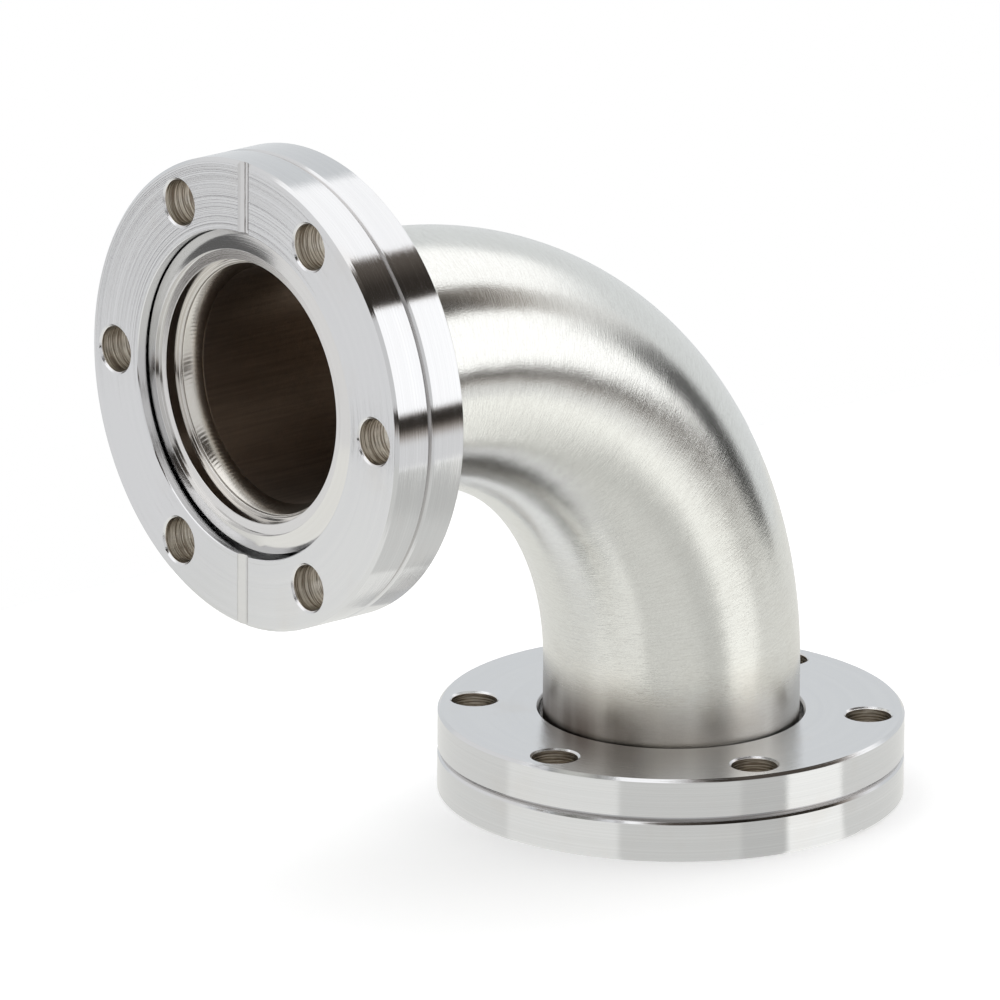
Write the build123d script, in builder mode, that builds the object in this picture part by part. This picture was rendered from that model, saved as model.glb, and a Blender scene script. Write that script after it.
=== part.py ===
from build123d import *
from math import radians, tan
import os

# Bakeable vacuum elbow: a bent thin-walled tube with a rotatable knife-edge flange at each end.
# Each flange is a loose bolt ring turning on a weld insert, which carries the knife edge.
# The origin is the centre of the lower flange's sealing face, and Z goes up its axis.
# The front port looks along -Y, and the bend lies in the YZ plane.

# Tube
tube_diameter = 38.1
tube_wall = 1.65
bend_radius = 57.15
front_reach = 82.0
front_height = 76.8

# Bolt ring: its walls stand one outside the other, from the gasket recess to the bolt holes to the rim
flange_thickness = 12.7
bolt_count = 6
bolt_hole = 6.8
recess_wall = 1.8
rim_wall = 1.9
hole_edge_break = 0.3
rim_edge_break = 0.45
bore_edge_break = 0.3
recess_edge_break = 0.12
rim_groove_width = 1.2
rim_groove_depth = 0.5
leak_groove_width = 2.5
leak_groove_depth = 0.6
tube_gap = 0.65
front_hole_angle = 60
lower_hole_angle = 136.2

# Weld insert: from the tube's bore outwards come the relief bore, the knife edge and the gasket land
relief_step = 1.95
relief_depth = 3.35
knife_wall = 1.6
knife_tip_depth = 0.7
knife_slope = 20.0
knife_height = 0.72
gasket_land = 3.2
lip_step = 0.85
lip_round = 0.4
insert_back_depth = 7.9
insert_clearance = 0.35
insert_edge_break = 0.3
shoulder_play = 0.1
socket_clearance = 0.05

# Weld on the vacuum side, running from the insert's lip down over the end of the tube
weld_depth = 5.1
weld_run_out = 1.65
weld_penetration = 1.35
weld_crown = 0.2

# Retaining wire, half in the insert and half in the ring
wire_diameter = 1.2
wire_bite = 0.55
wire_depth = 5.0
wire_side_play = 0.05
wire_float = 0.45
wire_gap_angle = 18

# The loose front ring hangs on its insert by less than the clearance between them
front_ring_sag = 0.25

# Sizes that follow from the ones above
tube_radius = tube_diameter / 2
tube_bore_radius = tube_radius - tube_wall
ring_bore_radius = tube_radius + tube_gap
relief_radius = tube_bore_radius + relief_step
knife_radius = relief_radius + knife_wall
recess_radius = knife_radius + gasket_land
bolt_circle_radius = recess_radius + recess_wall + bolt_hole / 2
flange_radius = bolt_circle_radius + bolt_hole / 2 + rim_wall
lip_radius = relief_radius - lip_step
lip_toe_depth = relief_depth + lip_round
insert_radius = recess_radius - insert_clearance
knife_root_depth = knife_tip_depth + knife_height
insert_rim_depth = knife_tip_depth + (insert_radius - knife_radius) * tan(radians(knife_slope))
shoulder_depth = insert_back_depth + shoulder_play
socket_radius = tube_radius + socket_clearance
weld_root_radius = tube_bore_radius + weld_penetration
wire_seat_radius = insert_radius - wire_bite
wire_centre_radius = wire_seat_radius + wire_diameter / 2
wire_groove_width = wire_diameter + 2 * wire_side_play
ring_wire_groove_radius = wire_centre_radius + wire_diameter / 2 + wire_float
leak_groove_radius = ((leak_groove_width / 2) ** 2 + leak_groove_depth**2) / (2 * leak_groove_depth)

# How closely an edge's radius has to match the size it is looked up by
radius_match = 0.0001

# A port's plane has its origin on the sealing face and its normal pointing out of the port
lower_port = Plane(origin=(0, 0, 0), x_dir=(1, 0, 0), z_dir=(0, 0, -1))
front_port = Plane(origin=(0, -front_reach, front_height), x_dir=(1, 0, 0), z_dir=(0, -1, 0))
front_ring_port = Plane(
    origin=(0, -front_reach, front_height - front_ring_sag), x_dir=(1, 0, 0), z_dir=(0, -1, 0)
)


def turning_plane(port):
    """The half section of a turned piece: x is the radius, y the depth behind the sealing face."""
    return Plane(origin=port.origin, x_dir=port.x_dir, z_dir=port.x_dir.cross(-port.z_dir))


def turning_axis(port):
    """The axis of everything turned about a port."""
    return Axis(port.origin, port.z_dir)


def circle_edges(part, radius):
    """The round edges of one radius."""
    round_edges = part.edges().filter_by(GeomType.CIRCLE)
    return round_edges.filter_by(lambda edge: abs(edge.radius - radius) < radius_match)


def make_tube():
    """A bent tube with a short straight leg at each end, bevelled inside for the welds."""
    lower_end = Vector(0, 0, weld_depth)
    bend_start = Vector(0, 0, front_height - bend_radius)
    bend_end = Vector(0, -bend_radius, front_height)
    front_end = Vector(0, -front_reach + weld_depth, front_height)
    with BuildPart() as tube:
        with BuildLine() as centre_line:
            Line(lower_end, bend_start)
            TangentArc(bend_start, bend_end, tangent=(0, 0, 1))
            Line(bend_end, front_end)
        with BuildSketch(Plane(origin=lower_end, z_dir=(0, 0, 1))):
            Circle(tube_radius)
            Circle(tube_bore_radius, mode=Mode.SUBTRACT)
        sweep(path=centre_line.wires()[0])
        end_faces = [tube.faces().sort_by(Axis.Z)[0], tube.faces().sort_by(Axis.Y)[0]]
        for end_face in end_faces:
            bore_edge = end_face.inner_wires()[0].edges()[0]
            chamfer(bore_edge, length=weld_penetration, length2=weld_run_out, reference=end_face)
    return tube


def make_insert(port):
    """The turned weld insert: knife edge in front, lip and socket for the tube behind it."""
    with BuildPart() as insert:
        with BuildSketch(turning_plane(port)):
            with BuildLine():
                Polyline(
                    (knife_radius, knife_tip_depth),
                    (insert_radius, insert_rim_depth),
                    (insert_radius, insert_back_depth - insert_edge_break),
                    (insert_radius - insert_edge_break, insert_back_depth),
                    (socket_radius, insert_back_depth),
                    (socket_radius, weld_depth),
                    (weld_root_radius, weld_depth),
                    (lip_radius, lip_toe_depth),
                )
                TangentArc(
                    (lip_radius + lip_round, relief_depth),
                    (lip_radius, lip_toe_depth),
                    tangent=(-1, 0),
                )
                Polyline(
                    (lip_radius + lip_round, relief_depth),
                    (relief_radius, relief_depth),
                    (relief_radius, knife_root_depth),
                    (knife_radius, knife_root_depth),
                    (knife_radius, knife_tip_depth),
                )
            make_face()
            with Locations((wire_seat_radius, wire_depth)):
                Rectangle(
                    2 * wire_bite,
                    wire_groove_width,
                    align=(Align.MIN, Align.CENTER),
                    mode=Mode.SUBTRACT,
                )
        revolve(axis=turning_axis(port))
    return insert


def make_weld_bead(port):
    """The fused bead: it fills the bevels and slopes from the lip's toe down to the tube's bore."""
    lip_toe = (lip_radius, lip_toe_depth)
    tube_toe = (tube_bore_radius, weld_depth + weld_run_out)
    with BuildPart() as bead:
        with BuildSketch(turning_plane(port)):
            with BuildLine():
                Line(lip_toe, (weld_root_radius, weld_depth))
                Line((weld_root_radius, weld_depth), tube_toe)
                SagittaArc(lip_toe, tube_toe, weld_crown)
            make_face()
        revolve(axis=turning_axis(port))
    return bead


def make_retaining_wire(port):
    """An open ring of round wire in the insert's groove, with its gap at one side of the bend."""
    with BuildPart() as wire:
        with BuildSketch(turning_plane(port)):
            with Locations((wire_centre_radius, wire_depth)):
                Circle(wire_diameter / 2)
        revolve(axis=turning_axis(port), revolution_arc=360 - wire_gap_angle)
    return wire


def make_bolt_ring(port, hole_angle):
    """The loose ring, turned all over, then drilled, with two leak-check grooves across its face."""
    with BuildPart() as ring:
        with BuildSketch(turning_plane(port)) as section:
            with Locations((ring_bore_radius, 0)):
                Rectangle(
                    flange_radius - ring_bore_radius,
                    flange_thickness,
                    align=(Align.MIN, Align.MIN),
                )
            rim_corners = section.vertices().group_by(Axis.X)[-1]
            chamfer(rim_corners, length=rim_edge_break)
            back_bore_corner = section.vertices().group_by(Axis.X)[0].sort_by(Axis.Y)[-1]
            chamfer(back_bore_corner, length=bore_edge_break)
            with Locations((ring_bore_radius, 0)):
                Rectangle(
                    recess_radius - ring_bore_radius,
                    shoulder_depth,
                    align=(Align.MIN, Align.MIN),
                    mode=Mode.SUBTRACT,
                )
            recess_corner = section.vertices().group_by(Axis.Y)[0].sort_by(Axis.X)[0]
            chamfer(recess_corner, length=recess_edge_break)
            with Locations((recess_radius, wire_depth)):
                Rectangle(
                    2 * (ring_wire_groove_radius - recess_radius),
                    wire_groove_width,
                    mode=Mode.SUBTRACT,
                )
            with BuildLine():
                Polyline(
                    (flange_radius, (flange_thickness - rim_groove_width) / 2),
                    (flange_radius - rim_groove_depth, flange_thickness / 2),
                    (flange_radius, (flange_thickness + rim_groove_width) / 2),
                    close=True,
                )
            make_face(mode=Mode.SUBTRACT)
        revolve(axis=turning_axis(port))
        with BuildSketch(port):
            with PolarLocations(bolt_circle_radius, bolt_count, start_angle=hole_angle):
                Circle(bolt_hole / 2)
        extrude(amount=-flange_thickness, mode=Mode.SUBTRACT)
        chamfer(circle_edges(ring, bolt_hole / 2), length=hole_edge_break)
        groove_angle = hole_angle + 180 / bolt_count
        groove_direction = port.x_dir.rotate(turning_axis(port), groove_angle)
        groove_centre = port.origin + port.z_dir * (leak_groove_radius - leak_groove_depth)
        with BuildSketch(Plane(origin=groove_centre, z_dir=groove_direction)):
            Circle(leak_groove_radius)
        extrude(amount=flange_radius, both=True, mode=Mode.SUBTRACT)
    return ring


elbow_tube = make_tube()
lower_insert = make_insert(lower_port)
front_insert = make_insert(front_port)
lower_weld_bead = make_weld_bead(lower_port)
front_weld_bead = make_weld_bead(front_port)
lower_retaining_wire = make_retaining_wire(lower_port)
front_retaining_wire = make_retaining_wire(front_port)
lower_bolt_ring = make_bolt_ring(lower_port, lower_hole_angle)
front_bolt_ring = make_bolt_ring(front_ring_port, front_hole_angle)

elbow_tube.part.label = "elbow_tube"
lower_insert.part.label = "lower_insert"
front_insert.part.label = "front_insert"
lower_weld_bead.part.label = "lower_weld_bead"
front_weld_bead.part.label = "front_weld_bead"
lower_retaining_wire.part.label = "lower_retaining_wire"
front_retaining_wire.part.label = "front_retaining_wire"
lower_bolt_ring.part.label = "lower_bolt_ring"
front_bolt_ring.part.label = "front_bolt_ring"

os.makedirs("parts", exist_ok=True)
export_step(elbow_tube.part, "parts/elbow_tube.step")
export_step(lower_insert.part, "parts/lower_insert.step")
export_step(front_insert.part, "parts/front_insert.step")
export_step(lower_weld_bead.part, "parts/lower_weld_bead.step")
export_step(front_weld_bead.part, "parts/front_weld_bead.step")
export_step(lower_retaining_wire.part, "parts/lower_retaining_wire.step")
export_step(front_retaining_wire.part, "parts/front_retaining_wire.step")
export_step(lower_bolt_ring.part, "parts/lower_bolt_ring.step")
export_step(front_bolt_ring.part, "parts/front_bolt_ring.step")
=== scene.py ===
# %% [markdown]
# # A vacuum flange elbow, dressed for its picture
# The real object is a bent stainless tube with a rotatable knife-edge flange on each end.
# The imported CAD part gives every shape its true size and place, so it is loaded first and never changed.
# What a CAD solid can't give is added around it here: the ripples of the welds, the softened edges of the
# turned inserts, and the way each steel surface was cut, drilled, bent or brushed.

from math import cos, pi, radians, sin, tan

import bpy
import numpy as np
from mathutils import Matrix, Vector


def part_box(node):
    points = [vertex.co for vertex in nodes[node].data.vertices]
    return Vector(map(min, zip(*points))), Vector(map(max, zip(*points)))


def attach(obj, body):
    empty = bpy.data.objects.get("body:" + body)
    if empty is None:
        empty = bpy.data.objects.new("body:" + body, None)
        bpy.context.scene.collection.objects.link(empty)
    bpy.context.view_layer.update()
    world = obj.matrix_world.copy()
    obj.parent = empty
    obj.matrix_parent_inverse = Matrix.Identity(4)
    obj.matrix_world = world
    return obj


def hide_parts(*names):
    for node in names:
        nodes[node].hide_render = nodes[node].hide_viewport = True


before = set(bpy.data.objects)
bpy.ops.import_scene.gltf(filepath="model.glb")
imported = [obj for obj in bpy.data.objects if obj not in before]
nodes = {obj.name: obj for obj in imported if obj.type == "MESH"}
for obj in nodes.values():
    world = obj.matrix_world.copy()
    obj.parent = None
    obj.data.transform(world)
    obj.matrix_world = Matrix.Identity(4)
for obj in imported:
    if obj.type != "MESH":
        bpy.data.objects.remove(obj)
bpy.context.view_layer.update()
mm = 0.001
print("nodes:", sorted(nodes))

# %% [markdown]
# ## Where the two ports are
# Both flanges are the same set of parts, one looking down and one looking forwards.
# A port's own frame has its origin at the centre of the sealing face and its z axis pointing out of the port,
# so a depth behind the face is -z. Everything turned is worked out once in that frame and placed by a matrix.
# The centres come from the boxes of the CAD nodes, so they follow the part if its sizes change.


# %% Port frames, read from the boxes of the nodes
def port_frame(ring, turn):
    """The matrix from a port's own frame to the part's: a turn about x, then a move to the face's centre."""
    low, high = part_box(ring)
    centre = (low + high) / 2
    out = Matrix.Rotation(turn, 4, "X") @ Vector((0, 0, 1))
    half = (high - low) / 2
    centre += out * abs(out.dot(half))
    return Matrix.Translation(centre) @ Matrix.Rotation(turn, 4, "X")


lower_turn = pi
front_turn = pi / 2
lower_ring_port = port_frame("lower_bolt_ring", lower_turn)
front_ring_port = port_frame("front_bolt_ring", front_turn)
insert_tip_depth = 0.7 * mm
lower_port = port_frame("lower_insert", lower_turn) @ Matrix.Translation((0, 0, insert_tip_depth))
front_port = port_frame("front_insert", front_turn) @ Matrix.Translation((0, 0, insert_tip_depth))
print("lower port centre in mm:", [round(v / mm, 2) for v in lower_port.translation])
print("front port centre in mm:", [round(v / mm, 2) for v in front_port.translation])
print("front ring centre in mm:", [round(v / mm, 2) for v in front_ring_port.translation])

# %% [markdown]
# ## Surfaces on a grid
# A turned or welded ring is a closed profile that goes all the way round, so its points form a grid that is
# closed in both directions, like a doughnut. numpy works the whole grid out as one array, and each square of
# it becomes a face. No pole or seam is left open.


# %% A mesh from a grid that is closed both ways
def add_piece(name, mesh, body):
    """Puts a mesh into the scene as a piece that rides on a body."""
    piece = bpy.data.objects.new(name, mesh)
    bpy.context.scene.collection.objects.link(piece)
    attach(piece, body)
    print(name, "faces:", len(mesh.polygons))
    return piece


def ring_object(name, points, port, body):
    """Each point of a (profile, round) grid is joined to the next along and round, the last to the first."""
    along, around = points.shape[:2]
    number = np.arange(along * around).reshape(along, around)
    beside = np.roll(number, -1, axis=1)
    below = np.roll(number, -1, axis=0)
    across = np.roll(beside, -1, axis=0)
    faces = np.stack([number, beside, across, below], axis=-1).reshape(-1, 4)
    mesh = bpy.data.meshes.new(name)
    mesh.from_pydata(points.reshape(-1, 3), [], faces)
    mesh.transform(port)
    mesh.shade_smooth()
    return add_piece(name, mesh, body)


def turned(profile, steps):
    """Each (radius, depth) goes round the axis: x = radius cos a, y = radius sin a, z = -depth."""
    angle = np.linspace(0, 2 * pi, steps, endpoint=False)
    radius = profile[:, 0, None]
    depth = profile[:, 1, None]
    rows = [radius * np.cos(angle), radius * np.sin(angle), -depth + 0 * angle]
    return np.stack(rows, axis=-1)


# %% [markdown]
# ## The weld inserts
# The insert is turned from one piece: a knife edge that bites the copper gasket, a 20 degree slope outside
# it, a relief bore behind it, a thin lip for the weld and a socket for the tube. A lathe never leaves a
# perfect corner, and a real corner shows as a thin bright line because it mirrors many directions at once. A
# Bevel modifier could round the corners of the finished ring, but the profile is a short list of points, so
# it is simpler to replace each corner by a small curve before the profile goes round.


# %% Sizes of the insert
tube_radius = (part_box("elbow_tube")[1].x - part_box("elbow_tube")[0].x) / 2
tube_wall = 1.65 * mm
tube_bore = tube_radius - tube_wall
insert_radius = (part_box("lower_insert")[1].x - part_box("lower_insert")[0].x) / 2
relief_bore = tube_bore + 1.95 * mm
relief_depth = 3.35 * mm
lip_bore = relief_bore - 0.85 * mm
lip_round = 0.4 * mm
lip_toe_depth = relief_depth + lip_round
knife_radius = 20.95 * mm
knife_root_depth = 1.42 * mm
knife_slope = radians(20)
insert_rim_depth = insert_tip_depth + (insert_radius - knife_radius) * tan(knife_slope)
insert_back_depth = 7.9 * mm
socket_radius = tube_radius + 0.05 * mm
weld_depth = 5.1 * mm
weld_run_out = 1.65 * mm
weld_end_depth = weld_depth + weld_run_out
weld_root = tube_bore + 1.35 * mm
wire_seat = insert_radius - 0.55 * mm
wire_groove_front = 4.35 * mm
wire_groove_back = 5.65 * mm
edge_break = 0.3 * mm
port_radii = [round(radius / mm, 2) for radius in (knife_radius, relief_bore, lip_bore, tube_bore)]
print("knife edge, relief bore, lip and tube bore, radii in mm:", port_radii)

# %% The insert's profile
lip_angle = np.radians([0, 22.5, 45, 67.5, 90])
lip_radii = lip_bore + lip_round * (1 - np.cos(lip_angle))
lip_depths = relief_depth + lip_round * (1 - np.sin(lip_angle))
insert_profile = np.array(
    [
        (knife_radius, insert_tip_depth),
        (insert_radius, insert_rim_depth),
        (insert_radius, wire_groove_front),
        (wire_seat, wire_groove_front),
        (wire_seat, wire_groove_back),
        (insert_radius, wire_groove_back),
        (insert_radius, insert_back_depth - edge_break),
        (insert_radius - edge_break, insert_back_depth),
        (socket_radius, insert_back_depth),
        (socket_radius, weld_depth),
        (weld_root, weld_depth),
        *zip(lip_radii, lip_depths),
        (relief_bore, relief_depth),
        (relief_bore, knife_root_depth),
        (knife_radius, knife_root_depth),
    ]
)
print("insert profile:", len(insert_profile), "points")


# %% Soften the corners and turn both inserts
def softened(corners, reach, steps):
    """Each corner c becomes the curve (1-t)^2 a + 2t(1-t) c + t^2 b; a and b lie a reach off on its sides."""
    back = np.roll(corners, 1, axis=0) - corners
    ahead = np.roll(corners, -1, axis=0) - corners
    start = corners + reach * back / np.linalg.norm(back, axis=1, keepdims=True)
    end = corners + reach * ahead / np.linalg.norm(ahead, axis=1, keepdims=True)
    t = np.linspace(0, 1, steps)[None, :, None]
    curve = (1 - t) ** 2 * start[:, None] + 2 * t * (1 - t) * corners[:, None] + t**2 * end[:, None]
    return curve.reshape(-1, 2)


corner_softness = 0.09 * mm
corner_steps = 5
insert_steps = 384
soft_insert = softened(insert_profile, corner_softness, corner_steps)
insert_grid = turned(soft_insert[::-1], insert_steps)  # taken backwards, so that the faces point outwards
lower_insert = ring_object("lower_insert_turned", insert_grid, lower_port, "elbow")
front_insert = ring_object("front_insert_turned", insert_grid, front_port, "elbow")
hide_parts("lower_insert")
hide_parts("front_insert")

# %% [markdown]
# ## The bent tube
# The tube is one length of thin-walled stainless tube, bent over a former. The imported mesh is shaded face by
# face, and on polished steel that shows as a hard line along the seam of its sweep. So the wall's section is
# carried along the same centre line here: out along the outside and back along the bore, with a weld bevel at
# each end. A curve with a round bevel would be quicker, but it would have no wall.


# %% The centre line, from the ports
bend_radius = 57.15 * mm
bend_height = front_port.translation.z - bend_radius
lower_leg = bend_height - weld_depth
front_leg = -front_port.translation.y - bend_radius - weld_depth
tube_length = lower_leg + bend_radius * pi / 2 + front_leg
print("tube length along its centre line:", round(tube_length / mm, 1), "mm")


# %% Carry the tube's wall along the centre line
def divided(profile, step):
    """Adds points along the closed profile, a step apart by length, and keeps the ones it has."""
    closed = np.concatenate([profile, profile[:1]])
    side = np.linalg.norm(np.diff(closed, axis=0), axis=1)
    length = np.concatenate([[0], np.cumsum(side)])
    places = np.union1d(length[:-1], np.arange(0, length[-1], step))
    runs = np.interp(places, length, closed[:, 0])
    radii = np.interp(places, length, closed[:, 1])
    return np.stack([runs, radii], axis=-1)


def tube_points(wall, around_steps):
    """Each (run, radius) goes round the centre line: x = radius cos a, and radius sin a is out of the bend.

    The run turns the section by (run - lower leg) / bend radius, kept between nothing and a quarter turn.
    What the run has before or after that lies straight along a leg.
    """
    run = wall[:, 0, None]
    radius = wall[:, 1, None]
    angle = np.linspace(0, 2 * pi, around_steps, endpoint=False)
    past_leg = run - lower_leg
    turn = np.clip(past_leg / bend_radius, 0, pi / 2)
    before = np.minimum(past_leg, 0)
    after = np.maximum(past_leg - bend_radius * pi / 2, 0)
    reach = bend_radius + radius * np.sin(angle)
    y = reach * np.cos(turn) - bend_radius - after
    z = reach * np.sin(turn) + bend_height + before
    return np.stack([radius * np.cos(angle), y, z], axis=-1)


wall_corners = np.array(
    [
        (0, tube_radius),
        (tube_length, tube_radius),
        (tube_length, weld_root),
        (tube_length - weld_run_out, tube_bore),
        (weld_run_out, tube_bore),
        (0, weld_root),
    ]
)
end_softness = 0.05 * mm
end_steps = 3
wall_step = 0.9 * mm
tube_steps = 144
tube_wall_profile = divided(softened(wall_corners, end_softness, end_steps), wall_step)
tube_grid = tube_points(tube_wall_profile, tube_steps)
bent_tube = ring_object("elbow_tube_bent", tube_grid, Matrix.Identity(4), "elbow")
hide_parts("elbow_tube")

# %% [markdown]
# ## One skin for each bolt ring
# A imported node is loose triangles, shaded face by face, so a polished rim shows a break where its turned
# surface begins and ends. The shape is right, so a copy keeps every size and place. Only its doubled points
# are joined, and edges sharper than 30 degrees stay sharp.


# %% Join the triangles of the bolt rings
joined_decimals = 7
sharp_angle = radians(30)


def joined_copy(name, node, body):
    """Points equal to a tenth of a micrometre become one; a triangle with two equal points is left out."""
    packed = nodes[node].data
    packed.calc_loop_triangles()
    places = np.empty(3 * len(packed.vertices))
    packed.vertices.foreach_get("co", places)
    corners = np.empty(3 * len(packed.loop_triangles), dtype=int)
    packed.loop_triangles.foreach_get("vertices", corners)
    places, joined = np.unique(
        np.round(places.reshape(-1, 3), joined_decimals), axis=0, return_inverse=True
    )
    faces = joined.reshape(-1)[corners].reshape(-1, 3)
    whole = (faces != np.roll(faces, 1, axis=1)).all(axis=1)
    mesh = bpy.data.meshes.new(name)
    mesh.from_pydata(places, [], faces[whole])
    mesh.shade_smooth()
    mesh.set_sharp_from_angle(angle=sharp_angle)
    piece = add_piece(name, mesh, body)
    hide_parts(node)
    return piece


lower_ring = joined_copy("lower_bolt_ring_joined", "lower_bolt_ring", "lower_ring")
front_ring = joined_copy("front_bolt_ring_joined", "front_bolt_ring", "front_ring")

# %% [markdown]
# ## The weld beads
# The tube is welded to the insert's lip from the vacuum side, by a torch that moves on a fraction of a
# millimetre with each pulse. Each pulse melts a round puddle over the last one, and the bead is left with
# overlapping crescents. A bump map could suggest them, but they catch the light at a low angle and show in
# the outline, so they are real here: the crown's height follows a wave that leans back away from the middle.


# %% Lay the ripples round the two welds
def bead_points(across_steps, around_steps):
    """From the lip's toe (t = 0) to the tube's (t = 1) the crown rises 4 crown t (1 - t) off a straight line.

    The ripple is taken off that crown. It is a slanted wave of the angle that lags by the square of 2t - 1:
    it climbs slowly and drops quickly, as overlapping puddles do. The last row is the root of the bevels,
    which closes the section behind the crown.
    """
    t = np.linspace(0, 1, across_steps)[:, None]
    angle = np.linspace(0, 2 * pi, around_steps, endpoint=False)[None, :]
    wander = 0.35 * np.sin(3 * angle + 1) + 0.25 * np.sin(7 * angle) + 0.2 * np.sin(12 * angle + 2)
    phase = ripple_count * angle + wander - ripple_lag * (2 * t - 1) ** 2
    wave = 0.5 + 0.5 * np.sin(phase + 0.6 * np.sin(phase))
    strength = 0.75 + 0.25 * np.sin(5 * angle + 0.5) * np.sin(2 * angle)
    fade = 1 - (2 * t - 1) ** 4
    proud = 4 * weld_crown * t * (1 - t) - ripple_height * wave * strength * fade
    run = np.array([tube_bore - lip_bore, weld_end_depth - lip_toe_depth])
    inward = np.array([-run[1], run[0]]) / np.linalg.norm(run)
    radius = lip_bore + run[0] * t + inward[0] * proud
    depth = lip_toe_depth + run[1] * t + inward[1] * proud
    root = 0 * angle
    radius = np.concatenate([radius, weld_root + root])
    depth = np.concatenate([depth, weld_depth + root])
    return np.stack([radius * np.cos(angle), radius * np.sin(angle), -depth], axis=-1)


weld_crown = 0.2 * mm
ripple_height = 0.018 * mm
ripple_count = 170
ripple_lag = 4.0
bead_rows = 21
faces_per_ripple = 8
bead_grid = bead_points(bead_rows, faces_per_ripple * ripple_count)
lower_bead = ring_object("lower_weld_ripples", bead_grid, lower_port, "elbow")
front_bead = ring_object("front_weld_ripples", bead_grid, front_port, "elbow")
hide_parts("lower_weld_bead")
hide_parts("front_weld_bead")
print("one ripple every", round(2 * pi * tube_bore / ripple_count / mm, 2), "mm of bead")

# %% [markdown]
# ## Writing a material as sums
# A procedural material is mostly arithmetic on positions: how far a point is from the axis, how deep it lies,
# which hole it is nearest. Nodes placed by hand hide that arithmetic, so one small class lets a socket be
# added, subtracted, multiplied and divided like a number, and each such step adds a Math node.


# %% Sockets that do arithmetic
class Socket:
    """An output of a node. Arithmetic on it adds a Math node and gives that node's output."""

    def __init__(self, recipe, output):
        self.recipe = recipe
        self.output = output

    def __add__(self, other):
        return self.recipe.math("ADD", self, other)

    def __radd__(self, other):
        return self.recipe.math("ADD", other, self)

    def __sub__(self, other):
        return self.recipe.math("SUBTRACT", self, other)

    def __rsub__(self, other):
        return self.recipe.math("SUBTRACT", other, self)

    def __mul__(self, other):
        return self.recipe.math("MULTIPLY", self, other)

    def __rmul__(self, other):
        return self.recipe.math("MULTIPLY", other, self)

    def __truediv__(self, other):
        return self.recipe.math("DIVIDE", self, other)

    def __rtruediv__(self, other):
        return self.recipe.math("DIVIDE", other, self)


print("a socket answers to + - * / in both orders")

# %% [markdown]
# ## One way to add a node
# A recipe holds the node tree of one material. Its node method adds any kind of node, makes the settings
# first because they change which sockets there are, and then fills the sockets with values or links. The
# other methods only give that one short names for what is used again and again.


# %% The recipe of a material
class Recipe:
    """The node tree of one material or world, and the ways to write into it."""

    def __init__(self, owner):
        owner.use_nodes = True
        self.tree = owner.node_tree
        self.tree.nodes.clear()

    def node(self, kind, settings, values, wanted=0):
        """Adds a node, makes its settings first, then fills its sockets, and gives the wanted output."""
        made = self.tree.nodes.new(kind)
        for setting, choice in settings.items():
            setattr(made, setting, choice)
        for socket, value in values.items():
            if isinstance(value, Socket):
                self.tree.links.new(value.output, made.inputs[socket])
            else:
                made.inputs[socket].default_value = value
        return Socket(self, made.outputs[wanted]) if made.outputs else None

    def math(self, operation, first, second=0.0, third=0.0):
        """One Math node."""
        return self.node("ShaderNodeMath", {"operation": operation}, {0: first, 1: second, 2: third})

    def step(self, value, low, high):
        """A smooth step: 0 below low, 1 above high, easing between them."""
        settings = {"interpolation_type": "SMOOTHSTEP", "clamp": True}
        return self.node("ShaderNodeMapRange", settings, {0: value, 1: low, 2: high, 3: 0.0, 4: 1.0})

    def band(self, value, low, high, soft):
        """1 between low and high, easing to 0 over the width soft at each end."""
        rising = self.step(value, low - soft / 2, low + soft / 2)
        falling = 1 - self.step(value, high - soft / 2, high + soft / 2)
        return rising * falling

    def blend(self, factor, first, second):
        """A colour between two others."""
        return self.node("ShaderNodeMix", {"data_type": "RGBA"}, {0: factor, 6: first, 7: second}, 2)

    def combine(self, x, y, z):
        """Three numbers as one vector."""
        return self.node("ShaderNodeCombineXYZ", {}, {0: x, 1: y, 2: z})

    def split(self, vector):
        """The three numbers of a vector."""
        parted = self.node("ShaderNodeSeparateXYZ", {}, {0: vector})
        outputs = parted.output.node.outputs
        return Socket(self, outputs[0]), Socket(self, outputs[1]), Socket(self, outputs[2])

    def noise(self, vector, scale, detail=2.0, roughness=0.5):
        """Soft random values from 0 to 1 that change over a distance of about 1 / scale."""
        values = {"Vector": vector, "Scale": scale, "Detail": detail, "Roughness": roughness}
        return self.node("ShaderNodeTexNoise", {}, values)

    def object_place(self):
        """The point on the piece, in its own coordinates, which are the part's own."""
        return self.node("ShaderNodeTexCoord", {}, {}, "Object")

    def bump(self, height, depth):
        """The surface normal of a relief of this height pattern, from 0 to depth metres."""
        return self.node("ShaderNodeBump", {}, {"Height": height, "Distance": depth, "Strength": 1.0})

    def steel(self, colour, roughness, normal):
        """Bare metal on the material's output."""
        values = {"Base Color": colour, "Metallic": 1.0, "Roughness": roughness, "Normal": normal}
        shader = self.node("ShaderNodeBsdfPrincipled", {}, values)
        self.node("ShaderNodeOutputMaterial", {}, {0: shader})


def material(name):
    """A new material and its recipe."""
    made = bpy.data.materials.new(name)
    return made, Recipe(made)


def dress(piece, finish):
    """Puts one finish on a piece or node, in place of what it came with."""
    piece.data.materials.clear()
    piece.data.materials.append(finish)
    print(piece.name, "is finished with", finish.name, "of", len(finish.node_tree.nodes), "nodes")


# %% [markdown]
# ## Where a point is on a turned piece
# A lathe tool, a drill and a torch all leave marks that follow the port's axis. So the finishes don't work in
# the part's x, y and z but in a port's radius, depth and angle. A Mapping node undoes the port's matrix, and
# the rest is school geometry. The same steel can then be turned on the faces and drilled in the holes.


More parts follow.
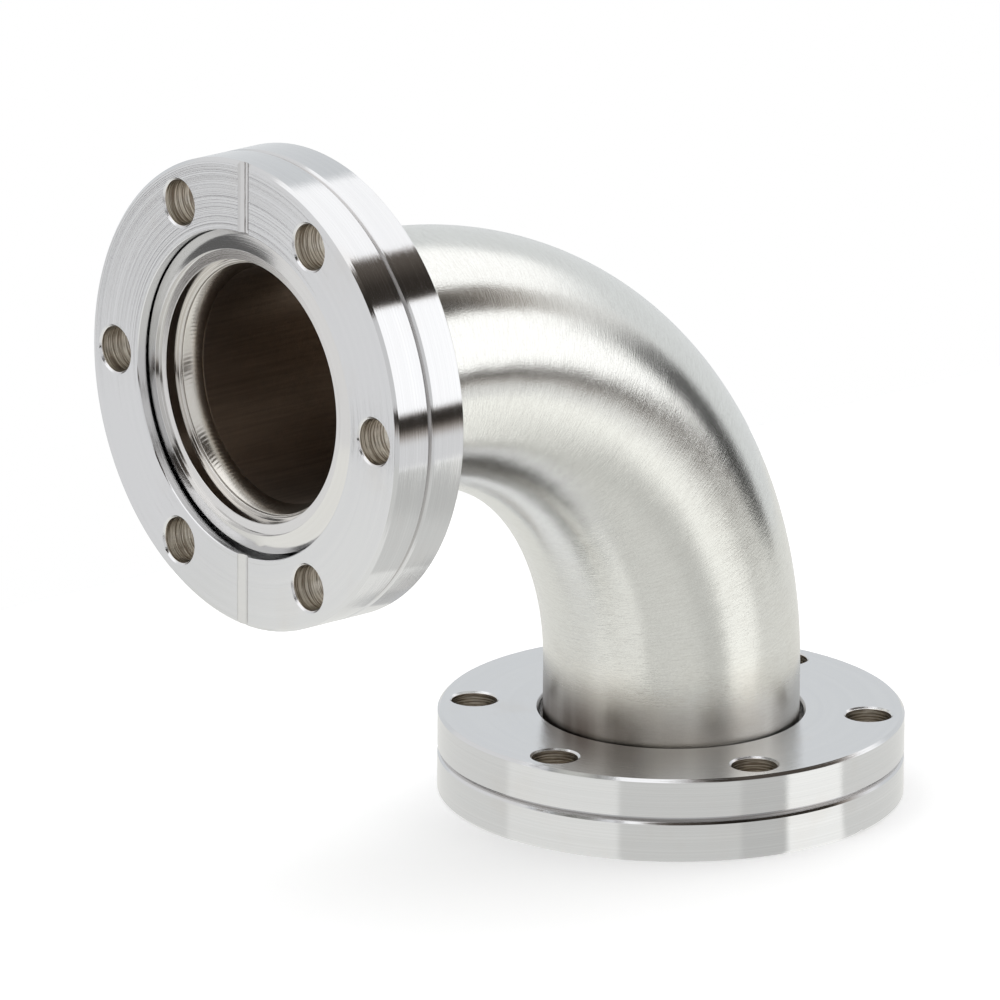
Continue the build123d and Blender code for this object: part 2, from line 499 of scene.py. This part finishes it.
# %% Radius and depth about a port
def about_port(recipe, port):
    """With the port's matrix undone, radius = sqrt(x^2 + y^2) and depth = -z."""
    values = {"Vector": recipe.object_place(), "Location": port.translation, "Rotation": port.to_euler()}
    x, y, z = recipe.split(recipe.node("ShaderNodeMapping", {"vector_type": "TEXTURE"}, values))
    radius = recipe.math("SQRT", x * x + y * y)
    return x, y, radius, 0 - z


def lathe_track(recipe, x, radius, depth, pitch):
    """Noise of radius and depth in pitches: the same all the way round, apart from a slow change with x."""
    place = recipe.combine(radius / pitch, depth / pitch, x / track_length)
    return recipe.noise(place, 1.0, 2.0, 0.6)


track_length = 300 * mm
print("a tool's line keeps its look for about", round(track_length / mm), "mm")


# %% [markdown]
# ## Turned and drilled steel for the bolt rings
# The rings are turned all over with a fine feed, so the light smears across the tool's lines and the flat
# faces show darker and lighter fans. The lines are a relief of a few hundredths of a millimetre: an
# anisotropic shader would be shorter, but it can't follow the axis of the forward port. The six holes are
# drilled, which leaves coarser rings and a duller, browner wall. The angle is folded to the nearest hole, so
# one formula makes all six. The two leak-check grooves are milled along their length. The floor of the thin
# groove round the rim is duller, because no polishing cloth reaches it, and its colour is darkened as painted
# shade.


# %% Sizes and colours of the bolt rings' marks
ring_pitch = 0.12 * mm
ring_relief = 0.024 * mm
bolt_circle = 29.35 * mm
bolt_hole_radius = 3.4 * mm
rim_radius = 34.65 * mm
front_hole_angle = radians(60)
lower_hole_angle = radians(136.2)
groove_half_width = 1.25 * mm
groove_depth = 0.6 * mm
rim_groove_front = 5.9 * mm
rim_groove_back = 6.8 * mm
drill_pitch = 0.24 * mm
mill_pitch = 0.12 * mm
turned_dark = (0.685, 0.69, 0.705, 1)
turned_light = (0.735, 0.738, 0.748, 1)
handled_steel = (0.66, 0.63, 0.60, 1)
drilled_dark = (0.36, 0.31, 0.26, 1)
drilled_light = (0.98, 0.95, 0.89, 1)
rim_line_dark = (0.48, 0.47, 0.46, 1)
# The painted shade on the floor of the rim's thin groove.
rim_groove_shade = (0.3, 0.27, 0.25, 1)
milled_dark = (0.60, 0.58, 0.56, 1)
print("ring lines every", ring_pitch / mm, "mm, relief", ring_relief / mm, "mm")


# %% The bolt rings' steel
def ring_steel(name, port, hole_angle):
    """Turned everywhere, drilled within a hole's radius of its axis, milled along the two grooves.

    A bolt hole is every sixth of a turn. WRAP folds the angle atan2(y, x) into the sixth round the nearest
    one, where the hole's own x and y are radius cos a - bolt circle and radius sin a. Masks of 0 or 1 choose
    the marks.
    """
    made, recipe = material(name)
    x, y, radius, depth = about_port(recipe, port)
    angle = recipe.math("ARCTAN2", y, x)
    folded = recipe.math("WRAP", angle - hole_angle, pi / 6, -pi / 6)
    hole_x = radius * recipe.math("COSINE", folded) - bolt_circle
    hole_y = radius * recipe.math("SINE", folded)
    hole_radius = recipe.math("SQRT", hole_x * hole_x + hole_y * hole_y)
    in_hole = 1 - recipe.step(hole_radius, bolt_hole_radius + 0.01 * mm, bolt_hole_radius + 0.06 * mm)
    along = hole_angle + pi / 6
    across_groove = recipe.math("ABSOLUTE", x * sin(along) - y * cos(along))
    in_groove = recipe.band(depth, 0.012 * mm, groove_depth + 0.05 * mm, 0.01 * mm)
    in_groove = in_groove * (1 - recipe.step(across_groove, groove_half_width, groove_half_width + 0.05 * mm))
    in_groove = in_groove * (1 - recipe.step(radius, rim_radius - 0.02 * mm, rim_radius - 0.01 * mm))

    track = lathe_track(recipe, x, radius, depth, ring_pitch)
    slow = recipe.noise(recipe.combine(radius / (1.2 * mm), depth / (0.8 * mm), x / (30 * mm)), 1.0, 2.0)
    drill_place = recipe.combine(depth / drill_pitch, hole_x / (6 * mm), hole_y / (6 * mm))
    drill = recipe.noise(drill_place, 1.0, 3.0, 0.65)
    mill_place = recipe.combine(across_groove / mill_pitch, depth / mill_pitch, radius / (3 * mm))
    milled = recipe.noise(mill_place, 1.0)
    on_rim = recipe.step(radius, rim_radius - 0.6 * mm, rim_radius - 0.5 * mm)
    height = track * (1 - 0.58 * on_rim) * (1 - in_hole) * (1 - in_groove)
    height = height + 1.8 * drill * in_hole + 0.5 * milled * in_groove

    stain = recipe.noise(recipe.object_place(), 90.0, 3.0, 0.55)
    turned_colour = recipe.blend(slow, turned_dark, turned_light)
    turned_colour = recipe.blend(recipe.step(stain, 0.55, 0.8) * 0.35, turned_colour, handled_steel)
    drilled_colour = recipe.blend(recipe.step(drill, 0.4, 0.6), drilled_dark, drilled_light)
    tracked = on_rim * recipe.step(track, 0.35, 0.65) * 0.12
    turned_colour = recipe.blend(tracked, turned_colour, rim_line_dark)
    # Painted shade: the floor of the rim's thin groove is coloured darker. It is also made rougher.
    groove_floor_dull_and_shaded = on_rim * recipe.band(depth, rim_groove_front, rim_groove_back, 0.1 * mm)
    groove_floor_dull_and_shaded = groove_floor_dull_and_shaded * (1 - recipe.step(radius, rim_radius - 0.38 * mm, rim_radius - 0.2 * mm))
    turned_colour = recipe.blend(groove_floor_dull_and_shaded * 0.4, turned_colour, rim_groove_shade)
    colour = recipe.blend(in_hole, turned_colour, drilled_colour)
    colour = recipe.blend(in_groove * 0.3, colour, milled_dark)
    roughness = 0.06 + 0.04 * slow + 0.22 * in_hole + 0.3 * groove_floor_dull_and_shaded
    recipe.steel(colour, roughness, recipe.bump(height, ring_relief))
    return made


dress(lower_ring, ring_steel("lower_ring_turned", lower_ring_port, lower_hole_angle))
dress(front_ring, ring_steel("front_ring_turned", front_ring_port, front_hole_angle))

# %% [markdown]
# ## Fine-turned steel for the inserts
# The knife edge and its slope have to seal metal to metal, so they are turned finer than the rings and almost
# mirror the room. Behind the knife the lip has been near the torch and has a faint straw tint.

# %% The inserts' steel
insert_pitch = 0.09 * mm
insert_relief = 0.006 * mm
fine_dark = (0.70, 0.69, 0.68, 1)
fine_light = (0.76, 0.755, 0.75, 1)
straw_steel = (0.66, 0.60, 0.52, 1)


def insert_steel(name, port):
    """Fine lines, and a straw tint that grows over the last 1.5 mm in front of the weld."""
    made, recipe = material(name)
    x, _, radius, depth = about_port(recipe, port)
    track = lathe_track(recipe, x, radius, depth, insert_pitch)
    slow = recipe.noise(recipe.combine(radius / (0.5 * mm), depth / (0.5 * mm), x / (20 * mm)), 1.0)
    heat = recipe.step(depth, lip_toe_depth - 1.5 * mm, lip_toe_depth + 0.5 * mm)
    heat = heat * (1 - recipe.step(radius, relief_bore + 0.1 * mm, relief_bore + 0.3 * mm))
    colour = recipe.blend(slow, fine_dark, fine_light)
    colour = recipe.blend(heat * 0.5, colour, straw_steel)
    recipe.steel(colour, 0.1 + 0.06 * slow, recipe.bump(track, insert_relief))
    return made


dress(lower_insert, insert_steel("lower_insert_turned_steel", lower_port))
dress(front_insert, insert_steel("front_insert_turned_steel", front_port))

# %% [markdown]
# ## Where a point is on the bent tube
# The tube's marks follow its own run: a straight leg, a quarter circle and a straight leg. From the centre of
# that quarter circle the run is an angle, and on the legs it is a plain length, so one sum covers all three
# without a seam. The distance from the tube's centre line tells the bore from the outside.


# %% Run and section of the tube
def along_tube(recipe):
    """How far a point is along the tube, and how far off the centre line to the side and out of the bend.

    Let p and q be y and z counted from the bend's centre, and let + and - keep only one sign of them. Then
    run = bend radius atan2(q+, p+) + q- - p-, and out = sqrt(p+^2 + q+^2) - bend radius.
    """
    x, y, z = recipe.split(recipe.object_place())
    p = y + bend_radius
    q = z - bend_height
    p_forward = recipe.math("MAXIMUM", p, 0.0)
    q_forward = recipe.math("MAXIMUM", q, 0.0)
    run = recipe.math("ARCTAN2", q_forward, p_forward) * bend_radius
    run = run + recipe.math("MINIMUM", q, 0.0) - recipe.math("MINIMUM", p, 0.0)
    out = recipe.math("SQRT", p_forward * p_forward + q_forward * q_forward) - bend_radius
    section_radius = recipe.math("SQRT", x * x + out * out)
    return x, out, run, section_radius


print("the run is 0 where the bend starts,", round(bend_height / mm, 2), "mm above the lower face")

# %% [markdown]
# ## Brushed steel for the tube
# After bending, the outside is blasted with fine grit and then worked over with an abrasive band that runs
# round the tube, so it has a fine grain and short scratches across its length. Bending also leaves a slow
# unevenness, which makes the reflections swell and thin out. The tube keeps a trace of colour where it was
# hot, above the lower flange and behind the forward one. Right above the lower flange it is painted almost
# black as shade, darkest on one fixed side towards -x and -y. The bore is duller and streaked along the draw,
# and its colour is painted darker and browner as shade inside the tube.

# %% Sizes and colours of the tube's marks
scratch_pitch = 0.12 * mm
scratch_length = 2.6 * mm
scratch_relief = 0.012 * mm
hair_width = 0.21 * mm
hair_length = 1.8 * mm
grain_size = 0.28 * mm
swell_size = 9 * mm
bore_limit = tube_bore + 0.8 * mm
low_heat_run = (-16 * mm, 14 * mm)
front_heat_run = (95 * mm, 108 * mm)
foot_run = (-7 * mm, 6 * mm)
# The fixed side towards -x and -y where the painted shade at the tube's foot is darkest.
shade_side_x = -0.64
shade_side_out = -0.77
shade_side_reach = (-4 * mm, 15 * mm)
brushed_dark = (0.77, 0.77, 0.745, 1)
brushed_light = (0.825, 0.832, 0.805, 1)
hair_dark = (0.5, 0.48, 0.45, 1)
grain_dark = (0.55, 0.54, 0.52, 1)
heated_steel = (0.68, 0.60, 0.48, 1)
# Painted shade: almost black at the tube's foot, and darker and browner in the bore.
foot_shade_colour = (0.11, 0.085, 0.07, 1)
drawn_and_shaded_dark = (0.38, 0.32, 0.275, 1)
drawn_and_shaded_light = (0.64, 0.56, 0.485, 1)
print("tube scratches every", scratch_pitch / mm, "mm and about", scratch_length / mm, "mm long")


# %% The tube's steel
def tube_steel(name):
    """Scratches are noise of the run in pitches and of the section in lengths; the bore swaps the two.

    Heat is a mask of the run at both ends. The painted shade at the foot is darkest where shade side x * x +
    shade side out * out is largest, a fixed side towards -x and -y.
    """
    made, recipe = material(name)
    x, out, run, section_radius = along_tube(recipe)
    outside = recipe.step(section_radius, bore_limit - 0.1 * mm, bore_limit + 0.1 * mm)
    scratch_place = recipe.combine(run / scratch_pitch, x / scratch_length, out / scratch_length)
    scratches = recipe.noise(scratch_place, 1.0, 3.0, 0.6)
    hair_place = recipe.combine(run / hair_width, x / hair_length, out / hair_length)
    hairs = recipe.noise(hair_place, 1.0, 2.0, 0.5)
    grain = recipe.noise(recipe.object_place(), 1 / grain_size, 2.0, 0.6)
    swell = recipe.noise(recipe.combine(run / swell_size, x / swell_size, out / swell_size), 1.0, 2.0)
    streaks = recipe.noise(recipe.combine(run / (12 * mm), x / (0.5 * mm), out / (0.5 * mm)), 1.0, 3.0)
    height = (scratches + 0.8 * hairs + 0.9 * grain + 8 * swell) * outside + (1 - outside) * streaks

    smoke = recipe.noise(recipe.object_place(), 60.0, 3.0)
    patches = recipe.noise(recipe.combine(run / (2.5 * mm), x / (14 * mm), out / (14 * mm)), 1.0, 3.0)
    sides = recipe.noise(recipe.combine(run / (60 * mm), x / (5 * mm), out / (5 * mm)), 1.0, 2.0)
    low_end = 1 - recipe.step(run, *low_heat_run)
    # Painted shade at the tube's foot, where it meets the lower flange, darkest towards -x and -y.
    shade_side = shade_side_x * x + shade_side_out * out
    near_foot = 1 - recipe.step(run, *foot_run)
    painted_foot_shade = near_foot * (0.45 + 0.55 * recipe.step(shade_side, *shade_side_reach))
    painted_foot_shade = painted_foot_shade * (0.75 + 0.25 * recipe.step(sides, 0.25, 0.6))
    high_end = recipe.step(run, *front_heat_run)
    heat = (low_end + high_end) * recipe.step(smoke, 0.25, 0.65)
    colour = recipe.blend(patches, brushed_dark, brushed_light)
    colour = recipe.blend(recipe.step(hairs, 0.4, 0.7) * 0.17, colour, hair_dark)
    colour = recipe.blend(recipe.step(grain, 0.35, 0.65) * 0.17, colour, grain_dark)
    colour = recipe.blend(heat * 0.6, colour, heated_steel)
    colour = recipe.blend(painted_foot_shade * 0.95, colour, foot_shade_colour)
    # The bore's drawn streaks, in colours darkened and browned as painted shade.
    colour = recipe.blend(outside, recipe.blend(streaks, drawn_and_shaded_dark, drawn_and_shaded_light), colour)
    roughness = 0.15 + 0.06 * patches + 0.19 * (1 - outside) + 0.18 * near_foot * outside
    recipe.steel(colour, roughness, recipe.bump(height, scratch_relief))
    return made


dress(bent_tube, tube_steel("brushed_tube"))

# %% [markdown]
# ## Fused steel for the welds and drawn steel for the wires
# A weld made under clean gas stays bright, with a straw colour at its edges where the gas was thin. The
# retaining wires are drawn through a die, so their marks run along the wire.


# %% The welds' and wires' steel
weld_dark = (0.66, 0.63, 0.59, 1)
weld_light = (0.74, 0.72, 0.68, 1)
weld_straw = (0.52, 0.43, 0.33, 1)
wire_dark = (0.50, 0.50, 0.50, 1)
wire_light = (0.62, 0.62, 0.61, 1)


def weld_steel(name, port):
    """Bright in the middle of the bead and straw-brown towards the toe on the tube."""
    made, recipe = material(name)
    depth = about_port(recipe, port)[3]
    skin = recipe.noise(recipe.object_place(), 1400.0, 3.0)
    tint = recipe.step(depth, weld_depth, weld_end_depth) * recipe.noise(recipe.object_place(), 250.0, 3.0)
    colour = recipe.blend(skin, weld_dark, weld_light)
    colour = recipe.blend(tint, colour, weld_straw)
    recipe.steel(colour, 0.16 + 0.1 * skin, recipe.bump(skin, 0.004 * mm))
    return made


def wire_steel(name, port):
    """Fine lines that keep their radius and depth, as the drawing die leaves them along the wire."""
    made, recipe = material(name)
    x, _, radius, depth = about_port(recipe, port)
    lines = recipe.noise(recipe.combine(radius / (0.05 * mm), depth / (0.05 * mm), x / (6 * mm)), 1.0)
    colour = recipe.blend(lines, wire_dark, wire_light)
    recipe.steel(colour, 0.24 + 0.1 * lines, recipe.bump(lines, 0.005 * mm))
    return made


dress(lower_bead, weld_steel("lower_weld", lower_port))
dress(front_bead, weld_steel("front_weld", front_port))
dress(nodes["lower_retaining_wire"], wire_steel("lower_spring_wire", lower_port))
dress(nodes["front_retaining_wire"], wire_steel("front_spring_wire", front_port))

# %% [markdown]
# ## The studio
# Bare steel shows the room more than itself, so the room is designed with care: long soft panels beside and
# above the part, a pale backdrop, and dark gaps between them, which give the metal its contrast. The room is
# a function of direction in the World shader. The camera sees plain white in its place.


# %% The room that the steel mirrors
plain_white = (1, 1, 1, 1)
cool_white = (0.96, 0.985, 1, 1)
warm_dark = (1, 0.84, 0.7, 1)


def studio_world():
    """Brightness of the room by direction: a plain level, and panels and gaps that are bands of an angle.

    All angles are in degrees. Azimuth and elevation place the walls. The angles around the y axis, counted
    up from the right or the left, place the long strips that run beside and above the part.
    """
    world = bpy.data.worlds.new("studio")
    bpy.context.scene.world = world
    recipe = Recipe(world)
    direction = recipe.node("ShaderNodeTexCoord", {}, {}, "Generated")
    x, y, z = recipe.split(direction)
    degrees = 180 / pi
    around = recipe.math("ARCTAN2", z, x) * degrees
    around_left = recipe.math("ARCTAN2", z, 0 - x) * degrees
    azimuth = recipe.math("ARCTAN2", y, x) * degrees
    elevation = recipe.math("ARCSINE", z) * degrees
    front_right = recipe.band(azimuth, -68, -7, 3)
    right_dim = recipe.band(azimuth, -7, 17, 3)
    right_panel = recipe.band(azimuth, 17, 66, 3) * recipe.band(around, -5, 47, 2)
    behind_gap = recipe.band(azimuth, 66, 86, 3) * (1 - recipe.step(elevation, 8, 20))
    backdrop = recipe.step(azimuth, 86, 90)
    left_dark = recipe.band(azimuth, -166, -130, 3) * recipe.band(elevation, -5, 11, 3)
    level = 0.88 - 0.1 * front_right - 0.45 * right_dim + 0.5 * right_panel
    level = level - 0.8 * behind_gap - 0.06 * backdrop - 0.75 * left_dark
    overhead = recipe.band(around, 73, 125, 2) * recipe.step(elevation, 20, 30)
    level = level * (1 - overhead) + 1.3 * overhead
    gap = recipe.band(around, 47, 73, 2) * (1 - recipe.step(y, 0.66, 0.9))
    gap = gap * (1 - 0.12 * recipe.step(around, 55, 73))
    right_strip = recipe.step(around, -21, -12) * (1 - recipe.step(around, -7, -5))
    right_strip = right_strip * recipe.step(x, 0.15, 0.3)
    left_strip = recipe.band(around_left, -34, -26, 2) * recipe.step(0 - x, 0.3, 0.5)
    dark = recipe.math("MAXIMUM", gap, recipe.math("MAXIMUM", right_strip, left_strip))
    level = level * (1 - 0.96 * dark)
    path = recipe.node("ShaderNodeLightPath", {}, {}, "Is Camera Ray")
    strength = level * (1 - path) + path
    tone = recipe.blend(backdrop * (1 - overhead), plain_white, cool_white)
    tone = recipe.blend(dark, tone, warm_dark)
    tone = recipe.blend(path, tone, plain_white)
    shader = recipe.node("ShaderNodeBackground", {}, {"Color": tone, "Strength": strength})
    recipe.node("ShaderNodeOutputWorld", {}, {0: shader})
    print("room made of", len(world.node_tree.nodes), "nodes")


studio_world()

# %% [markdown]
# ## The table
# The part stands on plain white paper that ends a little way to its left and right, because the flanges
# mirror its edge and the darker room beyond. The camera sees the paper a little brighter than the rest of the
# room does, so that it is as white as the background and only the shadow shows.

# %% The sheet of paper
floor_mesh = bpy.data.meshes.new("floor")
floor_left = -0.13
floor_right = 0.15
floor_front = -0.26
floor_back = 0.26
floor_corners = [
    (floor_left, floor_front, 0),
    (floor_right, floor_front, 0),
    (floor_right, floor_back, 0),
    (floor_left, floor_back, 0),
]
floor_mesh.from_pydata(floor_corners, [], [(0, 1, 2, 3)])
floor = bpy.data.objects.new("floor", floor_mesh)
bpy.context.scene.collection.objects.link(floor)
print("paper:", floor_right - floor_left, "by", floor_back - floor_front, "m")

# %% [markdown]
# ## Painted light on the paper
# The polished rim of the lower ring mirrors nothing but the paper just in front of it. So the paper is given
# painted light there: for mirror rays only it glows, in one wedge for each panel of the room. The wedges stay
# where they are when the view changes. For the picture's own view a wedge's edge is a mirrored line of sight:
# it starts at the rim, at an angle a from the picture's side of the part, and leaves it at 2a. Each wedge lies
# inside the one before, so their brightness steps are added up in turn.

# %% White paper with painted wedges of glow for mirrors
picture_side = radians(-40.2)
open_paper = 0.84
wedges = [  # degrees from the picture's side, and the step in brightness
    (-44.2, 0.13),
    (-13.1, -0.2),
    (17.1, -0.1),
    (29.3, 0.52),
    (53.0, -0.6),
    (64.8, 0.46),
]
wedge_softness = 0.8 * mm
paper, recipe = material("white_paper")
floor_x, floor_y = recipe.split(recipe.object_place())[:2]
wedge_level = open_paper
inside = 1.0
for degrees_off, jump in wedges:
    start = picture_side + radians(degrees_off)
    heading = picture_side + 2 * radians(degrees_off)
    beside_x = floor_x - rim_radius * cos(start)
    beside_y = floor_y - rim_radius * sin(start)
    past = beside_y * cos(heading) - beside_x * sin(heading)
    inside = inside * recipe.step(past, -wedge_softness, wedge_softness)
    wedge_level = wedge_level + jump * inside
plain_paper = recipe.node("ShaderNodeBsdfDiffuse", {}, {"Color": (0.9, 0.9, 0.9, 1)})
# Painted light: the paper glows in these wedges for glossy rays only, in place of light from the panels.
wedge_colour = recipe.blend(wedge_level / 2, (0, 0, 0, 1), (2, 2, 1.93, 1))
painted_wedge_glow = recipe.node("ShaderNodeEmission", {}, {"Color": wedge_colour, "Strength": 1.0})
glow = recipe.node("ShaderNodeEmission", {}, {"Color": (1, 1, 1, 1), "Strength": 0.35})
bright_paper = recipe.node("ShaderNodeAddShader", {}, {0: plain_paper, 1: glow})
in_mirror = recipe.node("ShaderNodeLightPath", {}, {}, "Is Glossy Ray")
to_camera = recipe.node("ShaderNodeLightPath", {}, {}, "Is Camera Ray")
for_steel = recipe.node("ShaderNodeMixShader", {}, {0: in_mirror, 1: plain_paper, 2: painted_wedge_glow})
mixed = recipe.node("ShaderNodeMixShader", {}, {0: to_camera, 1: for_steel, 2: bright_paper})
recipe.node("ShaderNodeOutputMaterial", {}, {0: mixed})
dress(floor, paper)

# %% [markdown]
# ## The camera
# The edges of the flanges and the tube in the picture fix where it was taken from: a little above the part,
# to its right and two metres away, with a long lens, which is why the two flanges look almost as large. These
# numbers come from a fit to those edges.

# %% The camera
view_azimuth = radians(49.765)
view_elevation = radians(17.336)
view_roll = radians(0.423)
view_distance = 2.0869
view_aim = Vector((-0.00072, -0.03293, 0.05104))
focal_length = 514.14
lens = bpy.data.cameras.new("camera")
lens.lens = focal_length
lens.sensor_width = 36.0
camera = bpy.data.objects.new("camera", lens)
bpy.context.scene.collection.objects.link(camera)
turn = Matrix.Rotation(view_azimuth, 4, "Z") @ Matrix.Rotation(pi / 2 - view_elevation, 4, "X")
turn = turn @ Matrix.Rotation(view_roll, 4, "Z")
camera.matrix_world = Matrix.Translation(view_aim) @ turn @ Matrix.Translation((0, 0, view_distance))
bpy.context.scene.camera = camera
bpy.context.scene.view_settings.view_transform = "Standard"
print("camera at", [round(value, 3) for value in camera.matrix_world.translation], "m")
